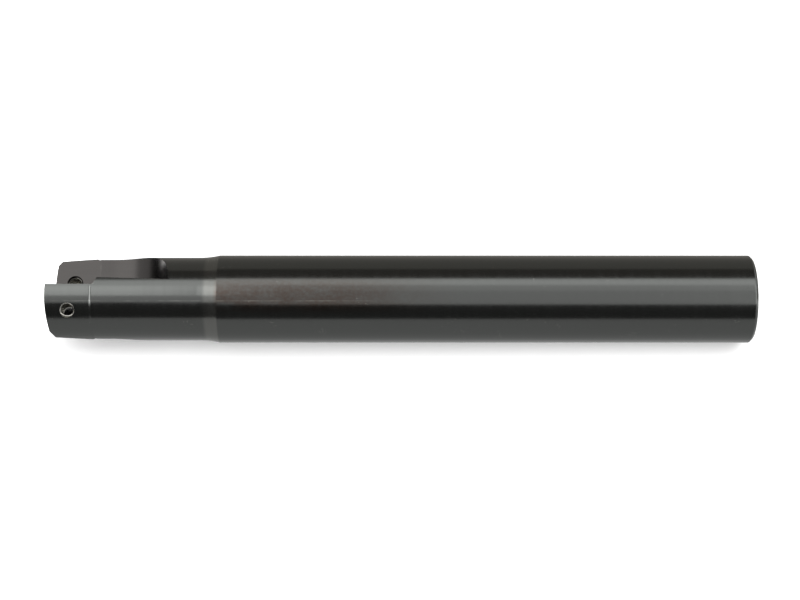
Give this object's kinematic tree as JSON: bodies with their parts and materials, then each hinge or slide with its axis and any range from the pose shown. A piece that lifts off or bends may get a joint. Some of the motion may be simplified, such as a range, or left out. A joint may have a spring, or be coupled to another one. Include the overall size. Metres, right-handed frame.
{
  "type": "indexable end mill",
  "caption": "Long-neck milling cutter body with open insert seats on opposite sides of its head, chip gullets behind them and a plain round clamping shank.",
  "frame": {"origin": "centre of the shank's end face, on which the tool stands", "axes": "+Z along the tool axis from the shank to the cutting head; the seat on the +X side faces -Y, the seat on the -X side faces +Y"},
  "size_m": [0.025, 0.025, 0.2],
  "materials": {
    "body": "blackened, ground and turned steel with a satin gloss"
  },
  "bodies": {
    "root": {"cutter_body": "body"}
  },
  "joints": []
}
